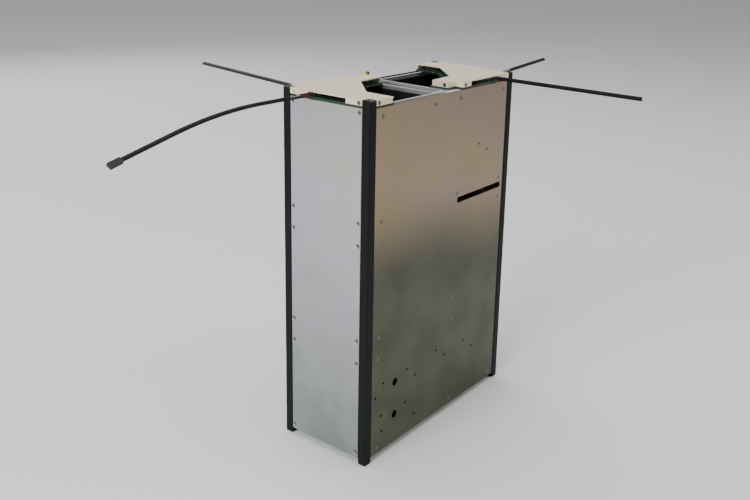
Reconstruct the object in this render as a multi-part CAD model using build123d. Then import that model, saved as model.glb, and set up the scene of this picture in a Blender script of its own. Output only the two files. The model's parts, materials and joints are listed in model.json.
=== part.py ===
from build123d import *
import math
import os

# Six-unit nanosatellite structure, an exhibition model, with four antenna blades
# that fold out in a cross from two modules on its top. Millimetres, +Z up.
# The origin is the middle of the base, level with the lower ends of the rails.
# +X runs along the wide faces, and the front wide face is at -Y.

# ---------------------------------------------------------------- driving sizes
body_width = 226.3          # X, over the rails
body_depth = 100.0          # Y, over the rails
body_height = 340.5         # Z, from rail end to rail end

rail_size = 8.5             # square section of a corner rail
rail_edge_radius = 1.0
rail_end_radius = 0.8       # round the ends
rail_base_bore_radius = 1.25    # tapping hole for M3 in each lower rail end
rail_top_bore_radius = 1.65     # tapping hole for M4 in each upper rail end
rail_bore_depth = 10.0

sheet = 1.5                 # thickness of the side panels and the base plate
panel_gap = 0.4             # between a panel's long edge and the rail beside it
panel_top_gap = 7.3         # rails stand this far above the panels
panel_base_gap = 6.0        # and this far below them
panel_edge_chamfer = 0.4
edge_strip = 1.5            # black strip along one long edge of each wide panel
strip_gap = 0.1             # round that strip

frame_height = 8.0          # ring frames inside the panels
top_frame_height = 12.0
frame_levels = (100.5, 122.5, 212.0, 232.5)     # mid-heights of the inner ring frames
frame_side_wide = 8.5       # bar along a wide face
frame_side_narrow = 11.65   # bar along a narrow face
beam_width = 21.0           # double beam across the middle of a ring
beam_bar = 3.0              # each of its two bars
beam_slot_margin = 1.5      # how far the beam's slot stays short of the windows' ends
ledge_width = 5.5           # step along the top ring where no module covers it
ledge_drop = 3.3
ledge_inner_x = 11.0        # the step runs from here
ledge_outer_x = 84.0        # to here, and the same turned half round at the back

# screws in the panels: M2, countersunk
screw_radius = 0.95
screw_head_radius = 1.9
screw_head_depth = 0.9
screw_sink = 0.3            # heads lie this far below the face
screw_length = 6.0
screw_clearance = 0.05      # between a screw and the metal around it
drive_radius = 0.62         # hexagon socket in each head
drive_depth = 0.45
wide_screw_outer_x = 95.5
wide_screw_inner_x = 20.5
wide_screw_top_drop = 7.7   # top row below a panel's upper edge
narrow_screw_inset = 3.2    # from the rail beside them
narrow_screw_top_drop = 3.9

# slot and open holes in the front panel: x and height above the base
slot_left = 21.2
slot_right = 99.2
slot_height = 5.5
slot_rim_chamfer = 0.45
slot_z = 224.8
slot_corner_radius = 1.2
large_hole_radius = 3.7
large_holes = ((-70.8, 69.0), (-70.8, 35.3))
small_hole_radius = 1.25
base_screw_x = (35.0, 75.0)     # each side of the middle, along both wide faces
small_hole_pairs = (        # each pair held a bracket: first hole, second hole
    ((54.9, 275.7), (70.0, 267.9)),
    ((42.6, 68.5), (58.4, 56.4)),
    ((-5.8, 75.8), (8.4, 65.7)),
    ((-52.4, 74.0), (-39.4, 63.4)),
    ((-54.2, 40.0), (-39.8, 21.8)),
    ((-88.5, 74.8), (-99.6, 63.6)),
    ((-90.5, 42.2), (-89.2, 25.8)),
)

# antenna modules on the top
board_thickness = 2.0
board_lift = 0.1            # underside above the panels' upper edges
board_inset = 1.0           # its edge behind the faces
board_end_margin = 0.8      # how far it shows past the end of the cover's arm
cover_sheet = 1.0
cover_rail_gap = 0.4        # around a rail end
board_overhang = 2.0        # how far a board shows past the cover's inner edge
arm_end_x = 11.0            # end of the arm along the wide face
arm_step_x = 23.0           # its end is stepped at the face
arm_step_y = 9.0            # depth of that step
arm_width = 27.5            # arm along the wide face, at its end
arm_elbow = (43.5, -20.0)   # inner corners of the cover
arm_shoulder = (81.5, 19.5)
side_arm_inner_x = 82.5
screw_tab_end = 36.6        # tab beside the opening in the wide face
side_tab_start = 23.3       # tab beside the opening in the narrow face
tab_clear = 0.8             # between a root holder and the tab beside it
block_size = (7.0, 6.0)     # tapped spacer behind a tab: along it, across it
cover_screw_length = 4.0
contact_radius = 1.1        # brass contact pin in the left module's narrow tab
contact_length = 3.0
contact_inset = 4.6         # from the tab's end beside the rail
board_screw_offset = 11.0   # board screws from the blade roots and from the middle
board_screw_end = 6.0       # and from the step at the arm's end

# blades and their root holders
blade_width = 3.8
blade_thickness = 0.7
blade_hollow = 0.55         # depth of the curve across a blade
blade_start = 3.4           # from the hinge axis
hinge_inset = 3.0           # hinge axis behind the face
wide_roots = {"right": 82.0, "left": 95.3}      # hinge from the middle, along a wide face
narrow_roots = {"right": -35.0, "left": -16.7}  # the same along a narrow face
holder_radius = 3.0
holder_reach = 4.0          # arm of the holder from the hinge axis
holder_width = 4.4
holder_play = 0.25          # above the board and under the cover
pin_radius = 0.75
pin_clearance = 0.05
spring_well_inner = 1.25
spring_well_outer = 2.5
spring_well_depth = 1.7
spring_wire_radius = 0.25
spring_coils = 3
spring_pitch = 0.42
spring_lift = 0.3           # lowest coil above the floor of its well

# feed strip and sleeve at the root of the two blades on the narrow faces
sleeve_length = 11.0
sleeve_wall = 0.25
feed_length = 13.0
feed_width = 2.2
feed_thickness = 0.5        # it lies on the crown of the blade
feed_bedding = 0.25         # its underside follows the blade's curve by this much
tip_length = 10.0
tip_width = 4.8
tip_thickness = 2.0
tip_end_wall = 0.6          # cap beyond the blade's end

# pieces inside
unit_gap = 0.6              # between an inner unit and the frame around it
stack_boards = 5
stack_pitch = 16.0
stack_board_thickness = 1.6
stack_rod_radius = 1.5
stack_rod_inset = 5.0
stack_spacer_radius = 2.6
stack_base = 3.0
stack_rod_rise = 6.0        # rod above the highest board
stack_nut_height = 2.4
battery_tray_height = 12.0
battery_height = 46.0
battery_margin = 5.0
radio_plate = 2.0
radio_size = (70.0, 58.0, 79.0)
radio_edge_radius = 3.0
radio_head_room = 3.0       # at least this much under the top ring
radio_plate_gap = 0.3       # between its plate and the rails
post_radius = 1.9
post_place = (-3.0, 45.75)
post_top_above_rails = 1.4

# ---------------------------------------------------------------- worked-out places
half_x = body_width / 2
half_y = body_depth / 2
inner_x = half_x - sheet
inner_y = half_y - sheet
panel_base = panel_base_gap
panel_top = body_height - panel_top_gap
base_plate_top = panel_base + sheet
ring_top = panel_top + board_lift
board_bottom = ring_top
board_top = board_bottom + board_thickness
cover_top = body_height
cover_bottom = cover_top - cover_sheet
cavity_mid = (board_top + cover_bottom) / 2
window_x = half_x - sheet - frame_side_narrow
window_y = half_y - sheet - frame_side_wide
rail_inner_x = half_x - rail_size
rail_inner_y = half_y - rail_size
base_ring_mid = base_plate_top + frame_height / 2
screw_rows = (base_ring_mid,) + frame_levels
narrow_screw_y = rail_inner_y - narrow_screw_inset
ring_mid_x = (window_x + inner_x) / 2
ring_mid_y = (window_y + inner_y) / 2

os.makedirs("parts", exist_ok=True)


def save(name, shape):
    """Writes one sub-part, as one solid or as a group of separate solids."""
    solids = shape.solids()
    shape = solids[0] if len(solids) == 1 else Compound(children=list(solids))
    shape.label = name
    export_step(shape, f"parts/{name}.step")


def block(x0, x1, y0, y1, z0, z1):
    """A box from its lowest and highest coordinates."""
    centre = ((x0 + x1) / 2, (y0 + y1) / 2, (z0 + z1) / 2)
    return Pos(*centre) * Box(abs(x1 - x0), abs(y1 - y0), abs(z1 - z0))


def prism(points, z0, z1):
    """An upright prism over an outline."""
    face = Plane.XY.offset(z0) * make_face(Polyline(*points, close=True))
    return extrude(face, amount=z1 - z0)


def upright(x, y, radius, z0, z1):
    """An upright cylinder."""
    return Pos(x, y, (z0 + z1) / 2) * Cylinder(radius, z1 - z0)


def half_turn(shape):
    """The same shape turned half round the vertical centre line."""
    return Rot(0, 0, 180) * shape


def group(shapes):
    """Separate solids kept as one group."""
    return Compound(children=[solid for shape in shapes for solid in shape.solids()])


# ---------------------------------------------------------------- screws
screw_seat = screw_sink + screw_head_depth
mouth_radius = screw_radius + (screw_head_radius - screw_radius) * screw_seat / screw_head_depth


def facing(place, direction):
    """A frame at a screw's head whose Z points out of the face."""
    return Plane(origin=place, z_dir=direction)


def screw(place, direction, length):
    """A countersunk screw with its head just below a place on a face."""
    shank_length = length - screw_seat
    shank = Pos(0, 0, -screw_seat - shank_length / 2) * Cylinder(screw_radius, shank_length)
    head_mid = screw_sink + screw_head_depth / 2
    head = Pos(0, 0, -head_mid) * Cone(screw_radius, screw_head_radius, screw_head_depth)
    socket_floor = screw_sink + drive_depth
    socket = Pos(0, 0, -socket_floor) * extrude(RegularPolygon(drive_radius, 6), amount=2 * drive_depth)
    return facing(place, direction) * (shank + head - socket)


def screw_cut(place, direction, length):
    """The tapped and countersunk hole that takes such a screw."""
    grow = screw_clearance
    depth = length + grow
    shank = Pos(0, 0, -depth / 2) * Cylinder(screw_radius + grow, depth)
    head = Pos(0, 0, -screw_seat / 2) * Cone(screw_radius + grow, mouth_radius + grow, screw_seat)
    mouth = Pos(0, 0, screw_seat / 2) * Cylinder(mouth_radius + grow, screw_seat)
    return facing(place, direction) * (shank + head + mouth)


wide_top_row = panel_top - wide_screw_top_drop
narrow_top_row = panel_top - narrow_screw_top_drop
# the wide panel has full columns at its ends, one near the middle, and two lone screws
wide_screw_places = []
for row in screw_rows + (wide_top_row,):
    for x in (-wide_screw_outer_x, wide_screw_outer_x):
        wide_screw_places.append((x, row))
    if row != frame_levels[2]:
        wide_screw_places.append((wide_screw_inner_x, row))
for row in (base_ring_mid, wide_top_row):
    wide_screw_places.append((-wide_screw_inner_x, row))
narrow_screw_places = []
for row in screw_rows + (narrow_top_row,):
    for y in (-narrow_screw_y, narrow_screw_y):
        narrow_screw_places.append((y, row))

front_screws = [((x, -half_y, z), (0, -1, 0)) for x, z in wide_screw_places]
back_screws = [((-x, half_y, z), (0, 1, 0)) for x, z in wide_screw_places]
left_screws = [((-half_x, y, z), (-1, 0, 0)) for y, z in narrow_screw_places]
right_screws = [((half_x, y, z), (1, 0, 0)) for y, z in narrow_screw_places]
base_screws = []
for x in base_screw_x:
    for place in ((x, ring_mid_y), (x, -ring_mid_y), (-x, ring_mid_y), (-x, -ring_mid_y)):
        base_screws.append(((place[0], place[1], panel_base), (0, 0, -1)))
panel_cuts = {}
for side, places in (("front", front_screws), ("back", back_screws), ("left", left_screws),
                     ("right", right_screws), ("base", base_screws)):
    panel_cuts[side] = [screw_cut(place, out, screw_length) for place, out in places]
    save(f"screws_{side}", group([screw(place, out, screw_length) for place, out in places]))


# ---------------------------------------------------------------- rails
def rail(sign_x, sign_y):
    """One corner rail with rounded edges and a tapped hole in each end."""
    centre_x = sign_x * (half_x - rail_size / 2)
    centre_y = sign_y * (half_y - rail_size / 2)
    bar = Box(rail_size, rail_size, body_height)
    bar = fillet(bar.edges().filter_by(Axis.Z), rail_edge_radius)
    ends = bar.faces().sort_by(Axis.Z)
    bar = fillet(ends[0].edges() + ends[-1].edges(), rail_end_radius)
    bore_mid = (body_height - rail_bore_depth) / 2
    bar -= Pos(0, 0, -bore_mid) * Cylinder(rail_base_bore_radius, rail_bore_depth)
    bar -= Pos(0, 0, bore_mid) * Cylinder(rail_top_bore_radius, rail_bore_depth)
    return Pos(centre_x, centre_y, body_height / 2) * bar


for word_y, sign_y in (("front", -1), ("back", 1)):
    for word_x, sign_x in (("left", -1), ("right", 1)):
        save(f"rail_{word_y}_{word_x}", rail(sign_x, sign_y))


# ---------------------------------------------------------------- ring frames
def ring(z0, z1):
    """A ring between the panels, notched round the rails, with a double beam across."""
    body = block(-inner_x, inner_x, -inner_y, inner_y, z0, z1)
    for sx in (-1, 1):
        for sy in (-1, 1):
            body -= block(sx * rail_inner_x, sx * half_x, sy * rail_inner_y, sy * half_y, z0, z1)
        body -= block(sx * beam_width / 2, sx * window_x, -window_y, window_y, z0, z1)
    slot_x = beam_width / 2 - beam_bar
    slot_y = window_y - beam_slot_margin
    body -= block(-slot_x, slot_x, -slot_y, slot_y, z0, z1)
    return body


def with_panel_holes(body, z0, z1):
    """Taps the holes of the screws whose height lies in a ring."""
    for side in ("front", "back", "left", "right"):
        for cut in panel_cuts[side]:
            height = cut.center().Z
            if z0 < height < z1:
                body -= cut
    return body


ring_names = ("frame_lower_a", "frame_lower_b", "frame_upper_a", "frame_upper_b")
for name, level in zip(ring_names, frame_levels):
    z0 = level - frame_height / 2
    z1 = level + frame_height / 2
    save(name, with_panel_holes(ring(z0, z1), z0, z1))

base_ring = with_panel_holes(
    ring(base_plate_top, base_plate_top + frame_height), base_plate_top, base_plate_top + frame_height)
for cut in panel_cuts["base"]:
    base_ring -= cut
save("frame_base", base_ring)

# ---------------------------------------------------------------- antenna modules
# Each module is made as the right-hand one, over the corner at +X and -Y. The left-hand one is
# then turned half round. They differ only in where their blades leave them.
notch_x = rail_inner_x - cover_rail_gap
notch_y = rail_inner_y - cover_rail_gap
arm_inner_y = -half_y + arm_width


def module_outline(inset, end_margin, grow):
    """Outline of a cover, or of a board: behind the faces, past the arm's end, and inwards."""
    outer_x = half_x - inset
    outer_y = half_y - inset
    step_x = arm_step_x - end_margin
    step_y = arm_step_y - half_y - end_margin
    end_x = arm_end_x - end_margin
    return [
        (side_arm_inner_x - grow, outer_y), (notch_x, outer_y), (notch_x, notch_y), (outer_x, notch_y),
        (outer_x, -notch_y), (notch_x, -notch_y), (notch_x, -outer_y),
        (step_x, -outer_y), (step_x, step_y), (end_x, step_y),
        (end_x, arm_inner_y + grow),
        (arm_elbow[0] - grow, arm_elbow[1] + grow),
        (arm_shoulder[0] - grow, arm_shoulder[1] + grow),
    ]


hinges = {
    "front": (wide_roots["right"], hinge_inset - half_y),
    "right": (half_x - hinge_inset, narrow_roots["right"]),
    "back": (-wide_roots["left"], half_y - hinge_inset),
    "left": (hinge_inset - half_x, -narrow_roots["left"]),
}


def module_tabs(wide_root, narrow_root):
    """Tabs turned down from a cover's edge, as x0, x1, y0, y1."""
    beside_root = holder_width / 2 + tab_clear
    step_y = arm_step_y - half_y
    return [
        (half_x - cover_sheet, half_x, side_tab_start, notch_y),
        (half_x - cover_sheet, half_x, -notch_y, narrow_root - beside_root),
        (wide_root + beside_root, notch_x, -half_y, cover_sheet - half_y),
        (arm_step_x, screw_tab_end, -half_y, cover_sheet - half_y),
        (arm_step_x, arm_step_x + cover_sheet, -half_y, step_y),
        (arm_end_x, arm_step_x + cover_sheet, step_y, step_y + cover_sheet),
        (arm_end_x, arm_end_x + cover_sheet, step_y, arm_inner_y),
        (side_arm_inner_x + cover_sheet, notch_x, half_y - cover_sheet, half_y),
    ]


# a tapped spacer stands behind each tab that has a screw: middle of it and its way out
block_along, block_across = block_size
block_reach = cover_sheet + block_across / 2
cover_blocks = [
    ((half_x - block_reach, notch_y - block_along / 2), (1, 0)),
    ((arm_step_x + cover_sheet + block_along / 2, block_reach - half_y), (0, -1)),
    ((arm_end_x + block_reach, arm_step_y + cover_sheet + block_along / 2 - half_y), (-1, 0)),
    ((notch_x - block_along / 2, half_y - block_reach), (0, 1)),
]


def cover_block(middle, out):
    """One spacer, as high as the space between board and cover."""
    along_x = block_across if out[0] else block_along
    along_y = block_along if out[0] else block_across
    x, y = middle
    return block(x - along_x / 2, x + along_x / 2, y - along_y / 2, y + along_y / 2, board_top, cover_bottom)


cover_screws = []
for (x, y), (out_x, out_y) in cover_blocks:
    place = (x + out_x * block_reach, y + out_y * block_reach, cavity_mid)
    cover_screws.append((place, (out_x, out_y, 0)))
cover_cuts = [screw_cut(place, out, cover_screw_length) for place, out in cover_screws]
spacers = group([cover_block(middle, out) - cut for (middle, out), cut in zip(cover_blocks, cover_cuts)])

# plug-in connectors and parts on the board: middle, size along X and Y, height
board_parts = [
    (90.0, 34.0, 5.0, 18.0, 3.4),
    (98.0, 8.0, 7.0, 9.0, 2.2),
    (72.0, 0.0, 9.0, 6.0, 3.2),
    (56.0, -27.0, 14.0, 5.0, 3.4),
    (31.0, -31.0, 8.0, 8.0, 1.6),
    (86.0, -20.0, 10.0, 10.0, 1.8),
]
components = []
for x, y, size_x, size_y, height in board_parts:
    components.append(block(x - size_x / 2, x + size_x / 2, y - size_y / 2, y + size_y / 2,
                            board_top, board_top + height))

modules = {"right": lambda shape: shape, "left": half_turn}
all_cover_screws = []
all_board_screws = []
board_cuts = []
for word, place in modules.items():
    wide_root = wide_roots[word]
    narrow_root = narrow_roots[word]
    cover = prism(module_outline(0, 0, 0), cover_bottom, cover_top)
    for x0, x1, y0, y1 in module_tabs(wide_root, narrow_root):
        cover += block(x0, x1, y0, y1, board_top, cover_top)
    for cut in cover_cuts:
        cover -= cut

    # screws that hold the board down on the top ring
    board_screw_places = [
        ((x, y, board_top), (0, 0, 1)) for x, y in (
            (wide_root - board_screw_offset, -ring_mid_y),
            (ring_mid_x, narrow_root + board_screw_offset),
            (ring_mid_x, board_screw_offset),
            (arm_step_x - board_screw_end, board_screw_end - ring_mid_y),
        )]
    board = prism(module_outline(board_inset, board_end_margin, board_overhang), board_bottom, board_top)
    for at, out in board_screw_places:
        cut = screw_cut(at, out, screw_length)
        board -= cut
        board_cuts.append(place(cut))
    for x, y in ((wide_root, hinge_inset - half_y), (half_x - hinge_inset, narrow_root)):
        board -= upright(x, y, pin_radius, board_bottom - 1, board_top + 1)

    if word == "left":
        contact_y = contact_inset - notch_y
        pin = Pos(half_x - contact_length / 2, contact_y, cavity_mid) * Rot(0, 90, 0) * Cylinder(
            contact_radius, contact_length)
        cover -= pin
        save("contact_pin", place(pin))
    save(f"cover_{word}", place(cover))
    save(f"antenna_board_{word}", place(board))
    save(f"cover_spacers_{word}", place(spacers))
    save(f"board_connectors_{word}", place(group(components)))
    all_cover_screws += [place(screw(at, out, cover_screw_length)) for at, out in cover_screws]
    all_board_screws += [place(screw(at, out, screw_length)) for at, out in board_screw_places]
save("cover_screws", group(all_cover_screws))
save("board_screws", group(all_board_screws))

# ---------------------------------------------------------------- top ring
top_ring_base = ring_top - top_frame_height
top_ring = with_panel_holes(ring(top_ring_base, ring_top), top_ring_base, ring_top)
ledge = block(-ledge_outer_x, ledge_inner_x, -half_y, ledge_width - inner_y, ring_top - ledge_drop, ring_top)
top_ring -= ledge
top_ring -= half_turn(ledge)
for cut in board_cuts:
    top_ring -= cut
save("frame_top", top_ring)

# ---------------------------------------------------------------- panels
wide_half = rail_inner_x - panel_gap
narrow_half = rail_inner_y - panel_gap


def hole_through_front(x, z, radius):
    """A plain round hole through the front panel."""
    return Pos(x, -half_y, z) * Rot(90, 0, 0) * Cylinder(radius, 4 * sheet)


strip_start = wide_half - edge_strip - strip_gap
front_panel = block(-wide_half, strip_start, -half_y, -inner_y, panel_base, panel_top)
front_panel = chamfer(front_panel.faces().sort_by(Axis.Y)[0].edges(), panel_edge_chamfer)
back_panel = half_turn(front_panel)
strip = block(strip_start + strip_gap, rail_inner_x - strip_gap, strip_gap - half_y, -inner_y,
              panel_base, panel_top)
save("edge_strips", group([strip, half_turn(strip)]))
for cut in panel_cuts["front"]:
    front_panel -= cut
for cut in panel_cuts["back"]:
    back_panel -= cut
slot_half = slot_height / 2
slot = block(slot_left, slot_right, -half_y - sheet, -inner_y + sheet,
             slot_z - slot_half, slot_z + slot_half)
front_panel -= fillet(slot.edges().filter_by(Axis.Y), slot_corner_radius)
slot_rim = [
    edge for edge in front_panel.faces().sort_by(Axis.Y)[0].edges()
    if slot_left - sheet < edge.center().X < slot_right + sheet and abs(edge.center().Z - slot_z) < slot_height
]
front_panel = chamfer(slot_rim, slot_rim_chamfer)
for x, z in large_holes:
    front_panel -= hole_through_front(x, z, large_hole_radius)
for pair in small_hole_pairs:
    for x, z in pair:
        front_panel -= hole_through_front(x, z, small_hole_radius)
save("panel_front", front_panel)
save("panel_back", back_panel)

right_panel = block(inner_x, half_x, -narrow_half, narrow_half, panel_base, panel_top)
right_panel = chamfer(right_panel.faces().sort_by(Axis.X)[-1].edges(), panel_edge_chamfer)
left_panel = half_turn(right_panel)
for cut in panel_cuts["right"]:
    right_panel -= cut
for cut in panel_cuts["left"]:
    left_panel -= cut
save("panel_right", right_panel)
save("panel_left", left_panel)

base_plate = block(-inner_x, inner_x, -inner_y, inner_y, panel_base, base_plate_top)
for sx in (-1, 1):
    for sy in (-1, 1):
        base_plate -= block(sx * (rail_inner_x - panel_gap), sx * half_x,
                            sy * (rail_inner_y - panel_gap), sy * half_y, 0, body_height)
for cut in panel_cuts["base"]:
    base_plate -= cut
save("base_plate", base_plate)


# ---------------------------------------------------------------- blades
blade_lift = (blade_thickness - blade_hollow) / 2
blade_low = blade_lift - blade_thickness
blade_high = blade_lift + blade_hollow


def blade_section(roll):
    """The curved cross-section of a blade, in a plane square to it."""
    half = blade_width / 2
    outer = ThreePointArc((-half, 0), (0, blade_hollow), (half, 0))
    inner = ThreePointArc((-half, -blade_thickness), (0, blade_hollow - blade_thickness),
                          (half, -blade_thickness))
    ends = [Line(outer @ 0, inner @ 0), Line(outer @ 1, inner @ 1)]
    face = make_face([outer, inner] + ends)
    return Rot(0, 0, roll) * Pos(0, blade_lift, 0) * face


# length from the hinge axis, roll of the section about the blade, resting turn towards
# the folding side, rise along the blade, and the sign of the folding turn about +Z
blades = {
    "front": {"length": 156.0, "roll": 90.0, "lean": 0.0, "rise": 0.0, "turn": -1},
    "right": {"length": 134.5, "roll": 34.0, "lean": 9.0, "rise": 0.0, "turn": 1},
    "back": {"length": 170.0, "roll": -34.0, "lean": 10.5, "rise": 0.0, "turn": -1},
    "left": {"length": 206.0, "roll": -34.0, "lean": 0.5, "rise": 0.0, "turn": 1},
}
straight_out = {"front": -90.0, "right": 0.0, "back": 90.0, "left": 180.0}
sag_start = 60.0            # the long blade is straight to here, then sags on an arc
sag_radius = 380.0
sag_angle = 13.6


def droop_path(length):
    """Middle line of the long blade: straight, a wide arc downwards, straight again."""
    sag = math.radians(sag_angle)
    arc_end = Vector(sag_start + sag_radius * math.sin(sag), 0, sag_radius * (math.cos(sag) - 1))
    rest = length - sag_start - sag_radius * sag
    first = Line((blade_start, 0, 0), (sag_start, 0, 0))
    middle = TangentArc((sag_start, 0, 0), arc_end, tangent=(1, 0, 0))
    last = Line(arc_end, arc_end + Vector(math.cos(sag), 0, -math.sin(sag)) * rest)
    return first, middle, last


def blade_shape(side):
    """A blade along local +X, with the hinge axis at the local origin."""
    data = blades[side]
    start = Plane(origin=(blade_start, 0, 0), x_dir=(0, 1, 0), z_dir=(1, 0, 0))
    section = start * blade_section(data["roll"])
    if side == "left":
        return sweep(section, path=Wire(droop_path(data["length"])))
    return extrude(section, amount=data["length"] - blade_start)


def placed(side, shape):
    """Moves a piece from a blade's own frame to its hinge."""
    data = blades[side]
    x, y = hinges[side]
    heading = straight_out[side] + data["turn"] * data["lean"]
    return Pos(x, y, cavity_mid) * Rot(0, 0, heading) * shape


def hinge_cut(side, radius, z0, z1):
    """An upright cylinder round a hinge axis."""
    x, y = hinges[side]
    return upright(x, y, radius, z0, z1)


pins = []
springs = []
for side, data in blades.items():
    tilt = Rot(0, -data["rise"], 0)
    blade = placed(side, tilt * blade_shape(side))
    save(f"blade_{side}", blade)

    holder_base = board_top + holder_play
    holder_top = cover_bottom - holder_play
    arm = block(0, holder_reach, -holder_width / 2, holder_width / 2, 0, holder_top - holder_base)
    arm = Pos(0, 0, holder_base - placed(side, Vertex(0, 0, 0)).center().Z) * arm
    holder = hinge_cut(side, holder_radius, holder_base, holder_top) + placed(side, arm)
    holder -= hinge_cut(side, pin_radius + pin_clearance, holder_base - 1, holder_top + 1)
    well = hinge_cut(side, spring_well_outer, holder_top - spring_well_depth, holder_top + 1)
    holder -= well - hinge_cut(side, spring_well_inner, board_bottom, cover_top)
    holder -= blade
    save(f"root_holder_{side}", holder)

    pins.append(hinge_cut(side, pin_radius, board_bottom, cover_bottom))
    x, y = hinges[side]
    coil_radius = (spring_well_inner + spring_well_outer) / 2
    coils = [
        Pos(x, y, holder_top - spring_well_depth + spring_lift + spring_wire_radius + turn * spring_pitch)
        * Torus(coil_radius, spring_wire_radius) for turn in range(spring_coils)
    ]
    spring = coils[0]
    for coil in coils[1:]:
        spring += coil
    springs.append(spring)
save("hinge_pins", group(pins))
save("torsion_springs", group(springs))

# the left and right blades carry a sleeve and a feed strip where they leave the module
for side in ("left", "right"):
    lean_over = Rot(0, -blades[side]["rise"], 0) * Rot(blades[side]["roll"], 0, 0)
    blade = Rot(0, -blades[side]["rise"], 0) * blade_shape(side)
    sleeve_start = holder_reach + tab_clear
    sleeve_end = sleeve_start + sleeve_length
    half_sleeve = blade_width / 2 + sleeve_wall
    sleeve = block(sleeve_start, sleeve_end, -half_sleeve, half_sleeve,
                   blade_low - sleeve_wall, blade_high + sleeve_wall)
    sleeve = fillet(sleeve.edges().filter_by(Axis.X), 2 * sleeve_wall)
    save(f"root_sleeve_{side}", placed(side, lean_over * sleeve - blade))
    strip = block(sleeve_end, sleeve_end + feed_length, -feed_width / 2, feed_width / 2,
                  blade_high - feed_bedding, blade_high + feed_thickness)
    save(f"feed_strip_{side}", placed(side, lean_over * strip - blade))

# moulded cap on the end of the long blade
path_end = droop_path(blades["left"]["length"])[2] @ 1
cap = Pos(*path_end) * Rot(0, sag_angle, 0) * Rot(blades["left"]["roll"], 0, 0) * block(
    -tip_length, tip_end_wall, -tip_width / 2, tip_width / 2, -tip_thickness, tip_thickness / 2)
save("tip_cap", placed("left", cap - blade_shape("left")))

# ---------------------------------------------------------------- units inside
window_left = beam_width / 2 + unit_gap
window_right = window_x - unit_gap
bay_x = (window_left + window_right) / 2
unit_half_x = (window_right - window_left) / 2
unit_half_y = window_y - unit_gap

# board stack, low in the right-hand bay
stack_top = base_plate_top + stack_base + stack_boards * stack_pitch
rods = []
for sx in (-1, 1):
    for sy in (-1, 1):
        rods.append((bay_x + sx * (unit_half_x - stack_rod_inset), sy * (unit_half_y - stack_rod_inset)))
rod_top = stack_top + stack_rod_rise
stack_plate = block(bay_x - unit_half_x, bay_x + unit_half_x, -unit_half_y, unit_half_y,
                    base_plate_top, base_plate_top + stack_base)
for x, y in rods:
    stack_plate -= upright(x, y, stack_rod_radius, 0, body_height)
save("stack_base_plate", stack_plate)
boards = []
spacer_tubes = []
nuts = []
for index in range(stack_boards):
    top = base_plate_top + stack_base + (index + 1) * stack_pitch
    one = block(bay_x - unit_half_x, bay_x + unit_half_x, -unit_half_y, unit_half_y,
                top - stack_board_thickness, top)
    for x, y in rods:
        one -= upright(x, y, stack_rod_radius + screw_clearance, 0, body_height)
        tube = upright(x, y, stack_spacer_radius, top - stack_pitch, top - stack_board_thickness)
        spacer_tubes.append(tube - upright(x, y, stack_rod_radius + screw_clearance, 0, body_height))
    boards.append(one)
for x, y in rods:
    nut = Pos(x, y, stack_top) * extrude(RegularPolygon(stack_spacer_radius, 6), amount=stack_nut_height)
    nuts.append(nut - upright(x, y, stack_rod_radius + screw_clearance, 0, body_height))
save("stack_boards", group(boards))
save("stack_spacers", group(spacer_tubes))
save("stack_nuts", group(nuts))
save("stack_rods", group([upright(x, y, stack_rod_radius, base_plate_top, rod_top) for x, y in rods]))

# battery pack in its tray, low in the left-hand bay
tray = block(-bay_x - unit_half_x, -bay_x + unit_half_x, -unit_half_y, unit_half_y,
             base_plate_top, base_plate_top + battery_tray_height)
pack_half_x = unit_half_x - battery_margin
pack_half_y = unit_half_y - battery_margin
pocket_floor = base_plate_top + battery_tray_height / 2
pack = block(-bay_x - pack_half_x, -bay_x + pack_half_x, -pack_half_y, pack_half_y,
             pocket_floor, pocket_floor + battery_height)
save("battery_tray", tray - pack)
save("battery_pack", fillet(pack.edges().filter_by(Axis.Z), battery_margin))

# radio unit on a plate that lies on the upper ring, in the left-hand bay
radio_x, radio_y, radio_z = radio_size
plate_z = frame_levels[3] + frame_height / 2
seat_half_y = unit_half_y + radio_plate
seat_plate = block(radio_plate_gap - rail_inner_x, -beam_width / 4, -seat_half_y, seat_half_y,
                   plate_z, plate_z + radio_plate)
save("radio_plate", seat_plate)
radio_base = plate_z + radio_plate
radio_top = min(radio_base + radio_z, ring_top - top_frame_height - radio_head_room)
radio = block(-bay_x - radio_x / 2, -bay_x + radio_x / 2, -radio_y / 2, radio_y / 2,
              radio_base, radio_top)
save("radio_unit", fillet(radio.edges().filter_by(Axis.Z), radio_edge_radius))

# brass post on the ledge at the back
post_x, post_y = post_place
post_base = ring_top - ledge_drop
post_top = body_height + post_top_above_rails
save("brass_post", upright(post_x, post_y, post_radius, post_base, post_top))
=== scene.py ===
# %% [markdown]
# # A six-unit nanosatellite with fold-out antenna blades
# The CAD model already holds every part at its real size, in metres, with +Z up. This lesson
# loads it as a fixed frame and gives it its looks: anodised rails, satin panels, folded covers,
# circuit boards, screws and springs. Nothing from the frame is moved or resized.

# %% Load the frame
import json
import math
import random

import bmesh
import bpy
from mathutils import Matrix, Vector


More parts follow.
